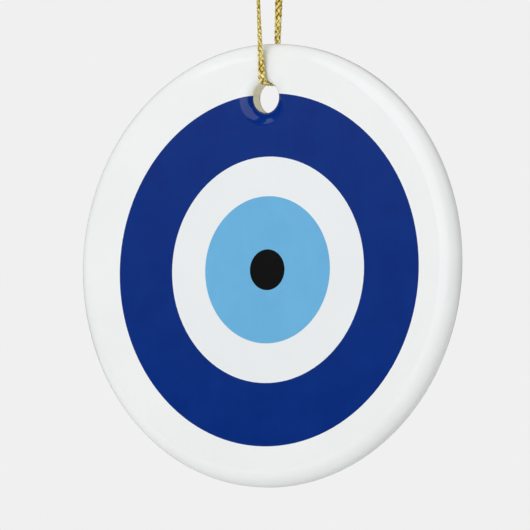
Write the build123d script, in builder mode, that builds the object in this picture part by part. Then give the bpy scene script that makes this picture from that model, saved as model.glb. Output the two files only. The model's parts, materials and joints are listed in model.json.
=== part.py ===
from build123d import *
from math import pi, radians, tan
import os

# Round glazed ceramic ornament with a printed evil eye, on a loop of gold cord.
# Frame: origin where the loop's inner top rests on its hook, +Z up, +X to the
# viewer's right, the front face towards -Y. Millimetres.

# Ceramic disc
DISC_RADIUS = 36.5
DISC_THICKNESS = 4.0
RIM_ROUND_WIDTH = 2.8      # how far the rounding reaches in from the rim
RIM_ROUND_DEPTH = 1.8      # how far it falls below the face
HOLE_RADIUS = 2.55
MOUTH_WIDTH = 2.2          # the glazed funnel at each mouth of the hole
MOUTH_DEPTH = 1.0
HOLE_ABOVE_CENTRE = 27.6

# Printed eye, the same on both faces, a little off centre on the disc
INK_DEPTH = 0.1
PUPIL_RADIUS = 3.36
IRIS_RADIUS = 12.1
WHITE_RADIUS = 18.6
BLUE_RADIUS = 29.0
PRINT_SHIFT_X = 0.8
PRINT_SHIFT_Z = -0.8

# Gold cord
CORD_DIAMETER = 0.9
LOOP_HEIGHT = 52.0         # from the disc's rim up to the loop's inner top
HOLE_EDGE_BEND = 1.2       # the cord's bend over the edge of the hole
JOINT_ABOVE_HOLE = 18.0    # where the bight that turns meets the upper loop
JOINT_GAP = 0.1
KNOT_BASE_Z = 4.0
KNOT_HEIGHT = 3.4
KNOT_WAIST_RADIUS = 1.7
KNOT_END_RADIUS = 1.3

CORD_RADIUS = CORD_DIAMETER / 2
HALF_THICKNESS = DISC_THICKNESS / 2
DISC_CENTRE_Z = -LOOP_HEIGHT - DISC_RADIUS
HOLE_Z = DISC_CENTRE_Z + HOLE_ABOVE_CENTRE
JOINT_Z = HOLE_Z + JOINT_ABOVE_HOLE
KNOT_TOP_Z = KNOT_BASE_Z + KNOT_HEIGHT

# One side of the loop, as (distance from the disc's middle plane, height): from
# under the knot down to the edge of the hole. The other side mirrors it.
STRAND_ROUTE = [
    (0.50, KNOT_BASE_Z),
    (0.50, 2.30),
    (1.70, 0.20),
    (4.30, -3.60),
    (5.50, -8.60),
    (5.60, -15.00),
    (2.60, HOLE_Z + 4.30),
    (2.05, HOLE_Z + 2.02),
]
# The two cut ends that stand out of the knot's top
TAIL_ROUTES = {
    "front": [
        (0.00, -0.55, KNOT_TOP_Z),
        (0.00, -0.55, KNOT_TOP_Z + 1.50),
        (0.50, -1.50, KNOT_TOP_Z + 3.20),
        (0.70, -3.00, KNOT_TOP_Z + 4.50),
    ],
    "back": [
        (0.00, 0.55, KNOT_TOP_Z),
        (0.00, 0.55, KNOT_TOP_Z + 1.20),
        (-0.60, 1.60, KNOT_TOP_Z + 2.60),
        (-1.00, 3.20, KNOT_TOP_Z + 3.40),
    ],
}

os.makedirs("parts", exist_ok=True)


def bend_radii(points):
    """The largest tangent arc that the two runs at each corner allow."""
    radii = []
    for before, corner, after in zip(points, points[1:], points[2:]):
        turn = (corner - before).get_angle(after - corner)
        shorter_run = min((corner - before).length, (after - corner).length)
        radii.append(0.45 * shorter_run / tan(radians(turn) / 2))
    return radii


def cord_tube(name, points, radii):
    """A round tube along straight runs and tangent arcs."""
    with BuildPart() as tube:
        with BuildLine():
            route = FilletPolyline(*points, radius=radii)
        with BuildSketch(Plane(route @ 0, z_dir=route % 0)):
            Circle(CORD_RADIUS)
        sweep()
    section_volume = pi * CORD_RADIUS**2 * route.length
    print(name, "length", round(route.length, 2), "radii", [round(r, 1) for r in radii])
    print("  volume", round(tube.part.volume, 3), "section x length", round(section_volume, 3))
    return tube.part


def section_plane(height):
    """The YZ plane through X = 0, with its origin at that height."""
    return Plane(origin=(0, 0, height), x_dir=(0, 1, 0), z_dir=(1, 0, 0))


def hole_shape(inset):
    """The hole with its rounded mouths, its wall moved into the ceramic by inset."""
    bore_radius = HOLE_RADIUS + inset
    mouth_radius = HOLE_RADIUS + MOUTH_WIDTH
    bore_end = HALF_THICKNESS - MOUTH_DEPTH
    face = HALF_THICKNESS - inset
    with BuildPart() as hole:
        with BuildSketch(section_plane(HOLE_Z)):
            with BuildLine():
                Line((-bore_end, bore_radius), (bore_end, bore_radius))
                EllipticalCenterArc(
                    (bore_end, mouth_radius),
                    MOUTH_DEPTH - inset,
                    MOUTH_WIDTH - inset,
                    start_angle=-90,
                    arc_size=90,
                )
                Polyline(
                    (face, mouth_radius),
                    (DISC_THICKNESS, mouth_radius),
                    (DISC_THICKNESS, 0),
                    (-DISC_THICKNESS, 0),
                    (-DISC_THICKNESS, mouth_radius),
                    (-face, mouth_radius),
                )
                EllipticalCenterArc(
                    (-bore_end, mouth_radius),
                    MOUTH_DEPTH - inset,
                    MOUTH_WIDTH - inset,
                    start_angle=180,
                    arc_size=90,
                )
            make_face()
        revolve(axis=Axis((0, 0, HOLE_Z), (0, 1, 0)))
    return hole.part


# ------------------------------------------------------------------- the print
# Each colour is a thin film let into the glaze, flush with the face. The ring's
# film follows the rounded mouth of the hole down to the straight bore.
hole_cutter = hole_shape(0)

with BuildPart() as under_ink:
    with BuildSketch(Plane.XZ):
        with Locations((0, DISC_CENTRE_Z)):
            Circle(DISC_RADIUS)
    extrude(amount=HALF_THICKNESS - INK_DEPTH, both=True)
    add(hole_shape(INK_DEPTH), mode=Mode.SUBTRACT)

INK_COLOURS = {
    "blue_ring": (BLUE_RADIUS, WHITE_RADIUS),
    "sky_iris": (IRIS_RADIUS, PUPIL_RADIUS),
    "black_pupil": (PUPIL_RADIUS, 0),
}
FACES = {"front": 1, "back": -1}
prints = []
for face_name, side in FACES.items():
    for colour, (outer_radius, inner_radius) in INK_COLOURS.items():
        with BuildPart() as film:
            with BuildSketch(Plane.XZ.offset(side * HALF_THICKNESS)):
                with Locations((side * PRINT_SHIFT_X, DISC_CENTRE_Z + PRINT_SHIFT_Z)):
                    Circle(outer_radius)
                    if inner_radius > 0:
                        Circle(inner_radius, mode=Mode.SUBTRACT)
            extrude(amount=-side * MOUTH_DEPTH)
            add(hole_cutter, mode=Mode.SUBTRACT)
            add(under_ink.part, mode=Mode.SUBTRACT)
        film.part.label = f"print_{face_name}_{colour}"
        prints.append(film.part)

# -------------------------------------------------------------------- the disc
with BuildPart() as ceramic_disc:
    with BuildSketch(section_plane(DISC_CENTRE_Z)):
        with BuildLine():
            flat_radius = DISC_RADIUS - RIM_ROUND_WIDTH
            edge_half = HALF_THICKNESS - RIM_ROUND_DEPTH
            Line((-edge_half, DISC_RADIUS), (edge_half, DISC_RADIUS))
            EllipticalCenterArc(
                (edge_half, flat_radius),
                RIM_ROUND_DEPTH,
                RIM_ROUND_WIDTH,
                start_angle=0,
                arc_size=90,
            )
            Polyline(
                (HALF_THICKNESS, flat_radius),
                (HALF_THICKNESS, 0),
                (-HALF_THICKNESS, 0),
                (-HALF_THICKNESS, flat_radius),
            )
            EllipticalCenterArc(
                (-edge_half, flat_radius),
                RIM_ROUND_DEPTH,
                RIM_ROUND_WIDTH,
                start_angle=90,
                arc_size=90,
            )
        make_face()
    revolve(axis=Axis((0, 0, DISC_CENTRE_Z), (0, 1, 0)))
    add(hole_cutter, mode=Mode.SUBTRACT)
    for printed_film in prints:
        add(printed_film, mode=Mode.SUBTRACT)
ceramic_disc.part.label = "ceramic_disc"

# -------------------------------------------------------------------- the cord
front_side = [Vector(0, -reach, height) for reach, height in STRAND_ROUTE]
back_side = [Vector(0, reach, height) for reach, height in reversed(STRAND_ROUTE)]
loop_points = front_side + back_side
loop_radii = bend_radii(loop_points)
front_edge = len(front_side) - 2
loop_radii[front_edge] = HOLE_EDGE_BEND
loop_radii[front_edge + 1] = HOLE_EDGE_BEND
whole_loop = cord_tube("loop", loop_points, loop_radii)

cords = []
for face_name, side in FACES.items():
    with BuildPart() as strand:
        add(whole_loop)
        split(bisect_by=Plane.XY.offset(JOINT_Z), keep=Keep.TOP)
        split(bisect_by=Plane.XZ, keep=Keep.TOP if side > 0 else Keep.BOTTOM)
    strand.part.label = f"cord_{face_name}_strand"
    cords.append(strand.part)

with BuildPart() as cord_bight:
    add(whole_loop)
    split(bisect_by=Plane.XY.offset(JOINT_Z - JOINT_GAP), keep=Keep.BOTTOM)
cord_bight.part.label = "cord_bight"
cords.append(cord_bight.part)

for face_name, route in TAIL_ROUTES.items():
    tail_points = [Vector(*point) for point in route]
    tail = cord_tube(f"{face_name} tail", tail_points, bend_radii(tail_points))
    tail.label = f"cord_{face_name}_tail"
    cords.append(tail)

with BuildPart() as cord_knot:
    with BuildSketch(Plane.XZ):
        with BuildLine():
            ThreePointArc(
                (KNOT_END_RADIUS, KNOT_BASE_Z),
                (KNOT_WAIST_RADIUS, KNOT_BASE_Z + KNOT_HEIGHT / 2),
                (KNOT_END_RADIUS, KNOT_TOP_Z),
            )
            Polyline(
                (KNOT_END_RADIUS, KNOT_TOP_Z),
                (0, KNOT_TOP_Z),
                (0, KNOT_BASE_Z),
                (KNOT_END_RADIUS, KNOT_BASE_Z),
            )
        make_face()
    revolve(axis=Axis.Z)
cord_knot.part.label = "cord_knot"
cords.append(cord_knot.part)

# ---------------------------------------------------------------------- export
for piece in [ceramic_disc.part, *prints, *cords]:
    print(piece.label, "solids", len(piece.solids()), "volume", round(piece.volume, 3))
    export_step(piece, f"parts/{piece.label}.step")
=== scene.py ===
import json
import math

import bpy
import numpy as np
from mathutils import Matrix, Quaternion, Vector


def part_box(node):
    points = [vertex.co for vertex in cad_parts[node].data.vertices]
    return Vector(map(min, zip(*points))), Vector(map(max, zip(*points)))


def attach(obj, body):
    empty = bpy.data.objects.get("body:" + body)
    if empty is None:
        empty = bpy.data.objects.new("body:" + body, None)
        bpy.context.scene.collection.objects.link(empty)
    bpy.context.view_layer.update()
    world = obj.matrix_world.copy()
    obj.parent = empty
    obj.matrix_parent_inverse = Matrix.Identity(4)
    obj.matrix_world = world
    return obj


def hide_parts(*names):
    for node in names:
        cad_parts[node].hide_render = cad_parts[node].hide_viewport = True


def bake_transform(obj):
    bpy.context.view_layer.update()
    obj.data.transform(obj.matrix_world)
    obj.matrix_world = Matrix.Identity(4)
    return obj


# Round glazed ornament with a printed evil eye, hanging in a loop of gold braid.
# Everything is in metres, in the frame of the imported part.

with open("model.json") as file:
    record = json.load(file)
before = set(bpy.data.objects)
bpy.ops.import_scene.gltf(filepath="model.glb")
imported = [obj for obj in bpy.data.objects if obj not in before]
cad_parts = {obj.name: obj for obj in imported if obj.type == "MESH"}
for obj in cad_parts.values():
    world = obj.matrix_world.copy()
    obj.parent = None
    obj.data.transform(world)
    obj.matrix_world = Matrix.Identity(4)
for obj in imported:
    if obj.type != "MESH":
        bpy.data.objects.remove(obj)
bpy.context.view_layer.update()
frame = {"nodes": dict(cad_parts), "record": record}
scene = bpy.context.scene
joint_at = {joint["name"]: Vector(joint["pos_m"]) for joint in frame["record"]["behaviour"]["joints"]}

MM = 0.001

# ------------------------------------------------------------- from the frame
disc_low, disc_high = (Vector(corner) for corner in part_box("ceramic_disc"))
disc_centre = (disc_low + disc_high) / 2
disc_radius = (disc_high.x - disc_low.x) / 2
hole_z = joint_at["disc_swing"].z
knot_low, knot_high = (Vector(corner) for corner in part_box("cord_knot"))

# -------------------------------------------------------------------- camera
CAMERA_AZIMUTH = 32.2
CAMERA_ELEVATION = -2.84
CAMERA_DISTANCE = 1.122
CAMERA_LENS = 463.4          # mm, on Blender's 36 mm sensor
AIM_RIGHT = -0.75 * MM       # the disc sits a little right of the picture's middle
AIM_UP = 0.08 * MM

# --------------------------------------------------------------------- studio
# Radiances. What lights the ornament, what the camera sees behind it and what
# the gloss mirrors are set apart.
BACKDROP = 0.871             # seen by the camera
ROOM_CEILING = 0.65
ROOM_WALLS = 0.59
ROOM_RIGHT = 0.68
ROOM_FLOOR = 0.35
DUSK_BELOW, DUSK_ABOVE = 0.01, 0.26      # mirrored, under the horizon and just over it
DUSK_TOP = 0.10              # height of a direction at which the dusk is brightest
NIGHT_TOP = 0.20             # and at which it has faded again
NIGHT_SHARE = 0.1            # to this share of it
MIRRORED_TINT = (0.94, 1.0, 1.10)
KEY_TINT = (1.05, 1.0, 0.93)
LIGHT_DISTANCE = 1.6
FLOOR_RADIUS = 0.6
FLOOR_HEIGHT = -0.185        # clear of the disc, which hangs

# ---------------------------------------------------------------------- glaze
GROUND_RADIUS = 0.66 * disc_radius     # a cooler white under the blue ring and inside it
BARE_RADIUS = 2.62 * MM      # the thinly glazed wall of the hole lies this near its centre
GLAZE_IOR = 1.5
GLAZE_ROUGHNESS = (0.05, 0.09)
GLAZE_WAVES = 0.02 * MM      # depth of the glaze's slow waves
GLAZE_PITS = 0.0006 * MM
INK_MOTTLE, CERAMIC_MOTTLE = 240, 60     # noise scales of the colours

# ---------------------------------------------------------------------- braid
BRAID_WIDTH = 1.34 * MM
BRAID_THICKNESS = 0.66 * MM
PRESSED = 0.68               # its thickness over the hole's edge, against that free
SQUEEZED = 0.82              # its width inside the knot, against that free
YARNS_EACH_WAY = 3
YARN_PITCH = 3.45 * MM       # one turn of a yarn round the braid
YARN_WIDTH = 0.52 * MM
YARN_THICKNESS = 0.22 * MM
YARN_LIFT = 0.08 * MM        # how far a yarn rises over the one it crosses
CORE_WIDTH = 0.74            # the straight core inside the braid, against the braid
CORE_THICKNESS = 0.45
GOLD_METALLIC = 0.25
GOLD_ROUGHNESS = (0.18, 0.36)
YARN_STEP = 0.08 * MM        # between two rings of a yarn
YARN_SIDES = 10
FRAY_LENGTH = 0.9 * MM       # the yarns spread over this much of a cut end
FRAY_SPREAD = (0.1, 0.9)     # and stand that much further out at its tip

# Each side of the loop as (distance from the disc's middle plane, height), from
# under the knot down to the fold over the hole's edge
FRONT_ROUTE = [
    (0.50 * MM, 4.00 * MM),
    (0.50 * MM, 2.30 * MM),
    (1.70 * MM, 0.20 * MM),
    (4.30 * MM, -3.60 * MM),
    (5.45 * MM, -8.60 * MM),
    (5.50 * MM, -15.00 * MM),
    (3.20 * MM, hole_z + 11.50 * MM),
    (2.50 * MM, hole_z + 4.10 * MM),
    (2.12 * MM, hole_z + 2.26 * MM),
    (0.35 * MM, hole_z + 2.26 * MM),
]
BACK_ROUTE = [
    (0.50 * MM, 4.00 * MM),
    (0.50 * MM, 2.30 * MM),
    (1.70 * MM, 0.20 * MM),
    (4.30 * MM, -3.60 * MM),
    (5.30 * MM, -8.60 * MM),
    (5.00 * MM, -15.00 * MM),
    (2.50 * MM, hole_z + 11.50 * MM),
    (2.36 * MM, hole_z + 4.10 * MM),
    (2.12 * MM, hole_z + 2.26 * MM),
    (0.35 * MM, hole_z + 2.26 * MM),
]

# The knot: each strand goes up its core, over the top, once round the outside,
# in at the bottom and up again inside, and leaves at the top as a cut tail.
# Points in millimetres.
WRAP_RADIUS = 1.12
WRAP_DROP = 1.75             # how far the wrap falls in its one turn
WRAP_FROM, WRAP_TO, WRAP_STEP = 20, 380, 30     # degrees about the loop's line
OUTSIDE = 0.7                # from this share of WRAP_RADIUS on, the braid lies flat on the knot
DRAWN_FLAT = 0.12            # how far each step turns it there
KNOT_ROUTES = {
    "front": {
        "core": [
            (0, -0.50, 4.00), (0.12, -0.47, 4.70), (0.30, -0.42, 5.70),
            (0.34, -0.36, 6.60), (0.72, -0.20, 7.15),
        ],
        "wrap_top": 7.00,
        "tuck": [(0.72, 0.52, 5.00), (0.10, 0.58, 5.15), (-0.40, 0.10, 5.80), (-0.40, -0.38, 6.80)],
        "tail": [
            (-0.12, -0.58, 7.70), (0.02, -0.62, 8.90),
            (0.50, -1.50, 10.60), (0.70, -2.90, 11.75),
        ],
    },
    "back": {
        "core": [(0, 0.50, 4.00), (0.12, 0.47, 4.50), (0.30, 0.34, 5.20), (0.72, 0.20, 5.85)],
        "wrap_top": 6.00,
        "tuck": [(0.72, 0.45, 4.15), (0.05, 0.55, 4.35), (-0.48, 0.30, 5.20), (-0.45, 0.36, 6.50)],
        "tail": [
            (-0.18, 0.55, 7.50), (-0.02, 0.62, 8.50),
            (-0.60, 1.60, 9.90), (-1.00, 3.05, 10.65),
        ],
    },
}


def direction_of(azimuth, elevation):
    """Unit vector to a place seen from the ornament: azimuth 0 is in front."""
    a, e = math.radians(azimuth), math.radians(elevation)
    return Vector((math.sin(a) * math.cos(e), -math.cos(a) * math.cos(e), math.sin(e)))


def new_object(name, mesh):
    piece = bpy.data.objects.new(name, mesh)
    scene.collection.objects.link(piece)
    return piece


# ----------------------------------------------------------------- materials
class Nodes:
    """Short ways to add and join the nodes of one tree."""

    def __init__(self, tree):
        self.tree = tree

    def add(self, kind, **values):
        made = self.tree.nodes.new(kind)
        for key, value in values.items():
            setattr(made, key, value)
        return made

    def link(self, output, socket):
        self.tree.links.new(output, socket)

    def noise(self, scale, detail=3.0, roughness=0.5):
        place = self.add("ShaderNodeTexCoord")
        texture = self.add("ShaderNodeTexNoise")
        texture.inputs["Scale"].default_value = scale
        texture.inputs["Detail"].default_value = detail
        texture.inputs["Roughness"].default_value = roughness
        self.link(place.outputs["Object"], texture.inputs["Vector"])
        return texture.outputs["Fac"]

    def ramp(self, factor, stops):
        ramp = self.add("ShaderNodeValToRGB")
        elements = ramp.color_ramp.elements
        while len(elements) < len(stops):
            elements.new(0.5)
        for element, (position, colour) in zip(elements, stops):
            element.position = position
            element.color = (*colour, 1)
        self.link(factor, ramp.inputs["Fac"])
        return ramp.outputs["Color"]

    def spread(self, value, low, high, start=0.0, end=1.0):
        ranged = self.add("ShaderNodeMapRange", interpolation_type="SMOOTHSTEP")
        ranged.inputs["From Min"].default_value = start
        ranged.inputs["From Max"].default_value = end
        ranged.inputs["To Min"].default_value = low
        ranged.inputs["To Max"].default_value = high
        self.link(value, ranged.inputs["Value"])
        return ranged.outputs["Result"]

    def math(self, operation, first, second):
        made = self.add("ShaderNodeMath", operation=operation)
        self.link(first, made.inputs[0])
        self.link(second, made.inputs[1])
        return made.outputs["Value"]

    def mix(self, factor, first, second):
        made = self.add("ShaderNodeMix", data_type="FLOAT")
        self.link(factor, made.inputs["Factor"])
        self.link(first, made.inputs["A"])
        if second is not None:
            self.link(second, made.inputs["B"])
        return made.outputs["Result"]

    def mix_colour(self, factor, first, second):
        made = self.add("ShaderNodeMix", data_type="RGBA")
        self.link(factor, made.inputs["Factor"])
        self.link(first, made.inputs[6])
        self.link(second, made.inputs[7])
        return made.outputs[2]

    def near(self, centre, radius):
        """1 inside that distance from a point of the object, 0 beyond it."""
        place = self.add("ShaderNodeTexCoord")
        apart = self.add("ShaderNodeVectorMath", operation="DISTANCE")
        self.link(place.outputs["Object"], apart.inputs[0])
        apart.inputs[1].default_value = centre
        return self.spread(apart.outputs["Value"], 1.0, 0.0, radius, radius + 1.0 * MM)

    def bump(self, height, distance, strength=1.0, under=None):
        bump = self.add("ShaderNodeBump")
        bump.inputs["Strength"].default_value = strength
        bump.inputs["Distance"].default_value = distance
        self.link(height, bump.inputs["Height"])
        if under is not None:
            self.link(under, bump.inputs["Normal"])
        return bump.outputs["Normal"]


class Shader(Nodes):
    """A new material, with its Principled shader at hand."""

    def __init__(self, name):
        self.material = bpy.data.materials.new(name)
        self.material.use_nodes = True
        super().__init__(self.material.node_tree)
        self.surface = self.tree.nodes["Principled BSDF"]


def glaze_material(name, colours, mottle_scale, ground=None, bare=None):
    """Glossy glaze over ceramic or ink, its colour a little uneven. A ground is
    the cooler pair of colours that the glaze has inside the print, and bare is
    the colour of the thinly glazed body in the hole."""
    shader = Shader(name)
    mottle = shader.noise(mottle_scale, 4.0, 0.6)
    colour = shader.ramp(mottle, [(0.3, colours[0]), (0.7, colours[1])])
    if ground:
        printed = shader.ramp(mottle, [(0.3, ground[0]), (0.7, ground[1])])
        inside = shader.near(disc_centre, GROUND_RADIUS)
        colour = shader.mix_colour(inside, colour, printed)
    if bare:
        body = shader.ramp(mottle, [(0.3, bare[0]), (0.7, bare[1])])
        in_hole = shader.near(Vector((0, 0, hole_z)), BARE_RADIUS)
        colour = shader.mix_colour(in_hole, colour, body)
    shader.link(colour, shader.surface.inputs["Base Color"])
    roughness = shader.spread(shader.noise(180, 3.0), *GLAZE_ROUGHNESS)
    shader.link(roughness, shader.surface.inputs["Roughness"])
    waves = shader.bump(shader.noise(90, 1.0, 0.3), GLAZE_WAVES)
    pitted = shader.bump(shader.noise(1400, 2.0, 0.5), GLAZE_PITS, under=waves)
    shader.link(pitted, shader.surface.inputs["Normal"])
    shader.surface.inputs["IOR"].default_value = GLAZE_IOR
    return shader.material


def gold_material():
    """Metallised film yarn. Its colour holds a painted highlight where a yarn rides over
    its neighbour, painted shade (brown) where it dips under or the core shows, and
    painted glints scattered as flecks."""
    shader = Shader("gold_braid")
    crown_shading = shader.add("ShaderNodeAttribute")
    crown_shading.attribute_name = "crown_shading"
    # painted highlight where the weave rides over, painted shade where it dips under
    crown_light_and_shade = shader.spread(crown_shading.outputs["Fac"], 0.0, 0.50)
    # painted glints: random flecks that lift the colour towards near-white
    painted_glint_flecks = shader.spread(shader.noise(1700, 2.0, 0.5), 0.0, 0.50, 0.30, 0.70)
    glint = shader.math("ADD", crown_light_and_shade, painted_glint_flecks)
    # colours run from painted shade, dark brown, to painted highlight, near-white
    colour = shader.ramp(
        glint,
        [
            (0.28, (0.19, 0.112, 0.005)),
            (0.50, (0.52, 0.345, 0.028)),
            (0.66, (0.92, 0.70, 0.13)),
            (0.78, (1.0, 0.93, 0.44)),
        ],
    )
    shader.link(colour, shader.surface.inputs["Base Color"])
    shader.surface.inputs["Metallic"].default_value = GOLD_METALLIC
    roughness = shader.spread(shader.noise(5000, 2.0), *GOLD_ROUGHNESS)
    shader.link(roughness, shader.surface.inputs["Roughness"])
    fibres = shader.bump(shader.noise(9000, 3.0, 0.6), 0.02 * MM, 0.6)
    shader.link(fibres, shader.surface.inputs["Normal"])
    return shader.material


white_glaze = glaze_material(
    "white_glaze",
    [(0.845, 0.86, 0.85), (0.875, 0.89, 0.88)],
    CERAMIC_MOTTLE,
    ground=[(0.81, 0.835, 0.84), (0.83, 0.855, 0.86)],
    bare=[(0.86, 0.82, 0.64), (0.89, 0.86, 0.69)],
)
cobalt_ink = glaze_material(
    "cobalt_ink", [(0.0006, 0.022, 0.183), (0.0014, 0.027, 0.208)], INK_MOTTLE
)
sky_ink = glaze_material("sky_ink", [(0.135, 0.42, 0.69), (0.150, 0.45, 0.72)], INK_MOTTLE)
black_ink = glaze_material(
    "black_ink", [(0.0010, 0.0010, 0.0010), (0.0022, 0.0022, 0.0022)], INK_MOTTLE
)
gold_braid = gold_material()


def dress_disc():
    """The disc and its ink films keep their CAD shape and get their glazes."""
    glazes = {"ceramic_disc": white_glaze}
    for face in ("front", "back"):
        glazes[f"print_{face}_blue_ring"] = cobalt_ink
        glazes[f"print_{face}_sky_iris"] = sky_ink
        glazes[f"print_{face}_black_pupil"] = black_ink
    for node, glaze in glazes.items():
        for slot in frame["nodes"][node].material_slots:
            slot.material = glaze


# ---------------------------------------------------------------------- cord
def spline_points(route, resolution=24):
    """Points along the smooth NURBS spline that has the route as its controls."""
    curve = bpy.data.curves.new("route", "CURVE")
    curve.dimensions = "3D"
    curve.resolution_u = resolution
    spline = curve.splines.new("NURBS")
    spline.points.add(len(route) - 1)
    for control, point in zip(spline.points, route):
        control.co = (*point, 1)
    spline.order_u = 3
    spline.use_endpoint_u = True
    holder = new_object("route", curve)
    mesh = bpy.data.meshes.new_from_object(holder)
    points = np.array([vertex.co[:] for vertex in mesh.vertices])
    bpy.data.objects.remove(holder)
    bpy.data.meshes.remove(mesh)
    bpy.data.curves.remove(curve)
    return points


def even_steps(points, step):
    """The same line in equal steps, with its distances and unit tangents."""
    runs = np.linalg.norm(np.diff(points, axis=0), axis=1)
    reached = np.concatenate([[0], np.cumsum(runs)])
    count = int(round(reached[-1] / step)) + 1
    distance = np.linspace(0, reached[-1], count)
    even = np.stack([np.interp(distance, reached, points[:, axis]) for axis in range(3)], 1)
    tangent = np.gradient(even, axis=0)
    tangent /= np.linalg.norm(tangent, axis=1)[:, None]
    return even, distance, tangent


def tube_rings(centre, across, outward, width, thickness, sides):
    """Rings of an oval section, one for each point of centre."""
    rings = []
    for side in range(sides):
        angle = 2 * math.pi * side / sides
        flat = across * (width / 2 * math.cos(angle))
        rings.append(centre + flat + outward * (thickness / 2 * math.sin(angle)))
    return np.stack(rings, 1)


def unit(vectors):
    return vectors / np.linalg.norm(vectors, axis=1)[:, None]


def add_tube(verts, faces, rings):
    """Joins rings into a closed tube and adds it to the lists of a mesh."""
    count, sides, _ = rings.shape
    base = len(verts)
    verts.extend(map(tuple, rings.reshape(-1, 3)))
    for ring in range(count - 1):
        for side in range(sides):
            beside = (side + 1) % sides
            here = base + ring * sides
            faces.append((here + side, here + beside, here + sides + beside, here + sides + side))
    faces.append(tuple(base + side for side in reversed(range(sides))))
    faces.append(tuple(base + (count - 1) * sides + side for side in range(sides)))


chance = np.random.default_rng(5)


def braid_mesh(name, cord, start, stop):
    """The yarns of one stretch of the cord: two sets that wind opposite ways
    round its flat section and go over and under each other."""
    turns = 2 * math.pi * cord["distance"] / YARN_PITCH
    lift = YARN_LIFT * cord["thin"]
    inside_wide = BRAID_WIDTH * cord["wide"] / 2 - YARN_THICKNESS / 2 - lift
    inside_thin = BRAID_THICKNESS * cord["thin"] / 2 - YARN_THICKNESS / 2 - lift
    verts, faces = [], []
    core = tube_rings(
        cord["centre"], cord["width_way"], cord["thin_way"],
        BRAID_WIDTH * CORE_WIDTH * cord["wide"][:, None],
        BRAID_THICKNESS * CORE_THICKNESS * cord["thin"][:, None],
        YARN_SIDES,
    )
    add_tube(verts, faces, core[start:stop])
    # the core gets the lowest value: painted shade where it shows between the yarns
    crown_shading = [np.zeros((stop - start) * YARN_SIDES)]
    for way in (1, -1):
        for yarn in range(YARNS_EACH_WAY):
            turn = way * turns + 2 * math.pi * yarn / YARNS_EACH_WAY
            weave = way * lift * np.cos(YARNS_EACH_WAY * turn)
            spread = 1 + chance.uniform(*FRAY_SPREAD) * cord["fray"] ** 2
            reach_wide = inside_wide * spread
            reach_thin = inside_thin * spread
            outward = unit(
                cord["width_way"] * (np.cos(turn) / reach_wide)[:, None]
                + cord["thin_way"] * (np.sin(turn) / reach_thin)[:, None]
            )
            line = (
                cord["centre"]
                + cord["width_way"] * (reach_wide * np.cos(turn))[:, None]
                + cord["thin_way"] * (reach_thin * np.sin(turn))[:, None]
                + outward * weave[:, None]
            )
            along = unit(np.gradient(line, axis=0))
            across = unit(np.cross(along, outward))
            rings = tube_rings(line, across, outward, YARN_WIDTH, YARN_THICKNESS, YARN_SIDES)
            add_tube(verts, faces, rings[start:stop])
            # painted highlight and shade by weave: 1 where the yarn rides over, 0 where it dips under
            crown_shading.append(np.repeat(0.5 + 0.5 * weave[start:stop] / lift[start:stop], YARN_SIDES))
    mesh = bpy.data.meshes.new(name)
    mesh.from_pydata(verts, [], faces)
    mesh.attributes.new("crown_shading", "FLOAT", "POINT").data.foreach_set("value", np.concatenate(crown_shading))
    mesh.polygons.foreach_set("use_smooth", [True] * len(mesh.polygons))
    mesh.update()
    return mesh


def line_length(path):
    return float(np.linalg.norm(np.diff(path, axis=0), axis=1).sum())


def twist_angles(heights, keys):
    """The braid's turn about its own line, in radians, between listed heights."""
    key_heights = [height for height, _ in keys]
    key_angles = [math.radians(angle) for _, angle in keys]
    return np.interp(heights, key_heights, key_angles)


# How far the flat of the braid has turned from facing the disc, by height
FRONT_TWIST = [
    (hole_z + 3.0 * MM, 0),
    (hole_z + 9.0 * MM, -37),
    (hole_z + 16.0 * MM, -58),
    (-10 * MM, -80),
]
BACK_TWIST = [
    (hole_z + 3.0 * MM, 0),
    (hole_z + 9.0 * MM, -18),
    (hole_z + 16.0 * MM, 2),
    (-10 * MM, 60),
]


def knot_line(side):
    """One strand's way through the knot, from the loop to its cut tip."""
    route = KNOT_ROUTES[side]
    wrap = []
    for angle in range(WRAP_FROM, WRAP_TO + 1, WRAP_STEP):
        turned = math.radians(angle)
        fallen = WRAP_DROP * (angle - WRAP_FROM) / (WRAP_TO - WRAP_FROM)
        at = (WRAP_RADIUS * math.cos(turned), WRAP_RADIUS * math.sin(turned))
        wrap.append((*at, route["wrap_top"] - fallen))
    points = route["core"] + wrap + route["tuck"] + route["tail"]
    return even_steps(spline_points([Vector(point) * MM for point in points]), YARN_STEP)


def carried_frame(centre, tangent, width_way):
    """Carries the braid's flat along a knotted line. Where the line runs round
    the outside of the knot, the flat is drawn down onto it."""
    widths = []
    for place, along in zip(centre, tangent):
        radial = np.array([place[0], place[1], 0.0])
        thin_way = np.cross(along, width_way)
        reach = np.linalg.norm(radial)
        if reach > OUTSIDE * WRAP_RADIUS * MM and place[2] < knot_high.z:
            radial /= reach
            thin_way += DRAWN_FLAT * math.copysign(1, thin_way @ radial) * radial
        width_way = np.cross(thin_way, along)
        width_way /= np.linalg.norm(width_way)
        widths.append(width_way)
    return np.array(widths)


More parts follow.
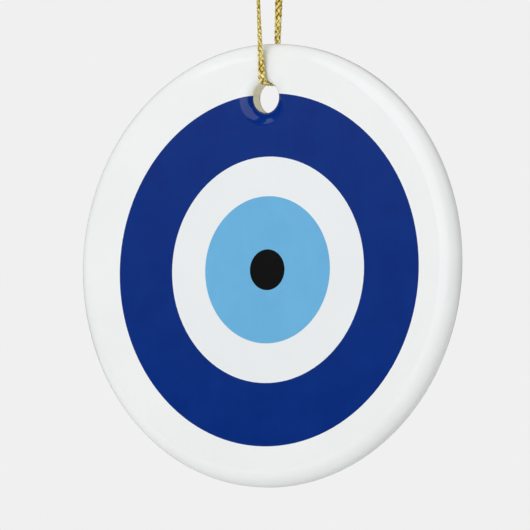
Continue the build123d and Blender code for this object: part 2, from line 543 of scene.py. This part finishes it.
def whole_cord():
    """The cord from one cut tip, through knot, loop and hole, to the other."""
    front = [(0, -reach, height) for reach, height in FRONT_ROUTE]
    back = [(0, reach, height) for reach, height in reversed(BACK_ROUTE)]
    centre, distance, tangent = even_steps(spline_points(front + back), YARN_STEP)
    middle = len(centre) // 2
    sideways = np.tile((1.0, 0.0, 0.0), (len(centre), 1))
    facing = np.cross(tangent, sideways)
    turn = np.concatenate([
        twist_angles(centre[:middle, 2], FRONT_TWIST),
        twist_angles(centre[middle:, 2], BACK_TWIST),
    ])
    # the front strand runs down and the back one up, so the same turn seen from
    # above has opposite signs about their tangents
    sign = np.where(np.arange(len(centre)) < middle, -1, 1)[:, None]
    width_way = sideways * np.cos(turn)[:, None] + sign * facing * np.sin(turn)[:, None]
    thin = np.interp(centre[:, 2], [hole_z + 2.6 * MM, hole_z + 5.0 * MM], [PRESSED, 1.0])

    up, up_distance, up_tangent = knot_line("front")
    on, on_distance, on_tangent = knot_line("back")
    up_width = carried_frame(up, up_tangent, width_way[0])
    on_width = carried_frame(on, on_tangent, width_way[-1])
    cord = {
        "centre": np.concatenate([up[:0:-1], centre, on[1:]]),
        "distance": np.concatenate([-up_distance[:0:-1], distance, distance[-1] + on_distance[1:]]),
        "tangent": np.concatenate([-up_tangent[:0:-1], tangent, on_tangent[1:]]),
        "width_way": np.concatenate([up_width[:0:-1], width_way, on_width[1:]]),
        "thin": np.concatenate([np.ones(len(up) - 1), thin, np.ones(len(on) - 1)]),
    }
    height = cord["centre"][:, 2]
    entering = [knot_low.z - 0.4 * MM, knot_low.z + 0.4 * MM]
    leaving = [knot_high.z - 0.2 * MM, knot_high.z + 0.9 * MM]
    squeezed = np.interp(height, entering, [1.0, SQUEEZED])
    cord["wide"] = squeezed + np.interp(height, leaving, [0.0, 1.0 - SQUEEZED])
    cord["thin_way"] = unit(np.cross(cord["tangent"], cord["width_way"]))
    tips = cord["distance"][0], cord["distance"][-1]
    from_tip = np.minimum(cord["distance"] - tips[0], tips[1] - cord["distance"])
    cord["fray"] = np.clip(1 - from_tip / FRAY_LENGTH, 0, 1)
    cuts = {
        "loop_start": len(up) - 1,
        "seat": len(up) - 1 + middle,
        "loop_end": len(up) + len(centre) - 2,
    }
    return cord, cuts


def build_cord():
    """The cord's four pieces: its two strands, cut at the seat in the hole, and
    their ends in the knot."""
    cord, cuts = whole_cord()
    stretches = {
        "gold_cord_front": (cuts["loop_start"], cuts["seat"] + 1),
        "gold_cord_back": (cuts["seat"], cuts["loop_end"] + 1),
        "gold_knot_front": (0, cuts["loop_start"] + 1),
        "gold_knot_back": (cuts["loop_end"], len(cord["centre"])),
    }
    pieces = {}
    for name, (start, stop) in stretches.items():
        piece = new_object(name, braid_mesh(name, cord, start, stop))
        piece.data.materials.append(gold_braid)
        pieces[name] = piece
    for name in ("gold_knot_front", "gold_knot_back"):
        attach(pieces[name], "upper_loop")
    for name in ("gold_cord_front", "gold_cord_back"):
        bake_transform(pieces[name])
    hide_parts("cord_front_strand")
    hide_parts("cord_back_strand", "cord_bight")
    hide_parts("cord_knot", "cord_front_tail")
    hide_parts("cord_back_tail")
    for side, away in (("front", -1), ("back", 1)):
        start, stop = stretches[f"gold_cord_{side}"]
    for name, (start, stop) in stretches.items():
        print(name, "length", round(1000 * line_length(cord["centre"][start:stop]), 1), "mm")


# --------------------------------------------------------------------- stage
def build_camera():
    back = direction_of(CAMERA_AZIMUTH, CAMERA_ELEVATION)
    right = Vector((0, 0, 1)).cross(back).normalized()
    up = back.cross(right)
    camera = bpy.data.cameras.new("camera")
    camera.lens = CAMERA_LENS
    camera.clip_end = 50
    holder = new_object("camera", camera)
    aim = disc_centre + right * AIM_RIGHT + up * AIM_UP
    holder.location = aim + back * CAMERA_DISTANCE
    holder.rotation_euler = back.to_track_quat("Z", "Y").to_euler()
    scene.camera = holder


def build_floor():
    bpy.ops.mesh.primitive_circle_add(
        vertices=96, radius=FLOOR_RADIUS, fill_type="NGON", location=(0, 0, FLOOR_HEIGHT)
    )
    floor = bpy.context.object
    floor.name = "floor"
    shader = Shader("floor_paint")
    greys = [(0.2, (0.80, 0.80, 0.80)), (0.8, (0.84, 0.84, 0.84))]
    colour = shader.ramp(shader.noise(3, 2.0), greys)
    shader.link(colour, shader.surface.inputs["Base Color"])
    shader.surface.inputs["Roughness"].default_value = 0.7
    floor.data.materials.append(shader.material)


def build_world():
    """A pale sweep behind, even soft light from the walls and ceiling, and a dim
    room for the gloss to mirror, brightest just over the horizon."""
    world = bpy.data.worlds.new("studio")
    world.use_nodes = True
    scene.world = world
    nodes = Nodes(world.node_tree)
    background = world.node_tree.nodes["Background"]
    direction = nodes.add("ShaderNodeTexCoord").outputs["Generated"]
    split = nodes.add("ShaderNodeSeparateXYZ")
    nodes.link(direction, split.inputs["Vector"])
    low = nodes.spread(split.outputs["Z"], ROOM_FLOOR, ROOM_WALLS, -0.9, 0.0)
    high = nodes.spread(split.outputs["Z"], 0.0, ROOM_CEILING - ROOM_WALLS, 0.0, 0.9)
    side = nodes.spread(split.outputs["X"], 0.0, ROOM_RIGHT - ROOM_WALLS, 0.0, 0.9)
    room = nodes.math("ADD", nodes.math("ADD", low, high), side)
    dusk = nodes.spread(split.outputs["Z"], DUSK_BELOW, DUSK_ABOVE, 0.0, DUSK_TOP)
    night = nodes.spread(split.outputs["Z"], 1.0, NIGHT_SHARE, DUSK_TOP, NIGHT_TOP)
    mirrored = nodes.math("MULTIPLY", dusk, night)
    ray = nodes.add("ShaderNodeLightPath").outputs
    lit = nodes.mix(ray["Is Glossy Ray"], room, mirrored)
    shown = nodes.mix(ray["Is Camera Ray"], lit, None)
    shown.node.inputs["B"].default_value = BACKDROP
    nodes.link(shown, background.inputs["Color"])


def softbox(name, azimuth, elevation, width, height, radiance, roll=0, mirrored=True):
    """A rectangular panel that faces the ornament and looks that bright, turned
    in its own plane by roll degrees."""
    way = direction_of(azimuth, elevation)
    light = bpy.data.lights.new(name, "AREA")
    light.shape = "RECTANGLE"
    light.size = width
    light.size_y = height
    light.energy = radiance * math.pi * width * height
    light.color = MIRRORED_TINT if mirrored else KEY_TINT
    holder = new_object(name, light)
    holder.location = disc_centre + way * LIGHT_DISTANCE
    rolled = Quaternion((0, 0, 1), math.radians(roll))
    holder.rotation_euler = (way.to_track_quat("Z", "Y") @ rolled).to_euler()
    holder.visible_glossy = mirrored


dress_disc()
build_cord()
build_camera()
build_floor()
build_world()
softbox("front_panel", azimuth=-4.5, elevation=16.5, width=1.20, height=1.70, radiance=1.04)
softbox("round_glint", azimuth=-39.5, elevation=19.9, width=0.145, height=0.48, radiance=1.1, roll=33)
softbox("key", azimuth=-12, elevation=26, width=2.6, height=2.2, radiance=0.49, mirrored=False)

scene.view_settings.view_transform = "Standard"
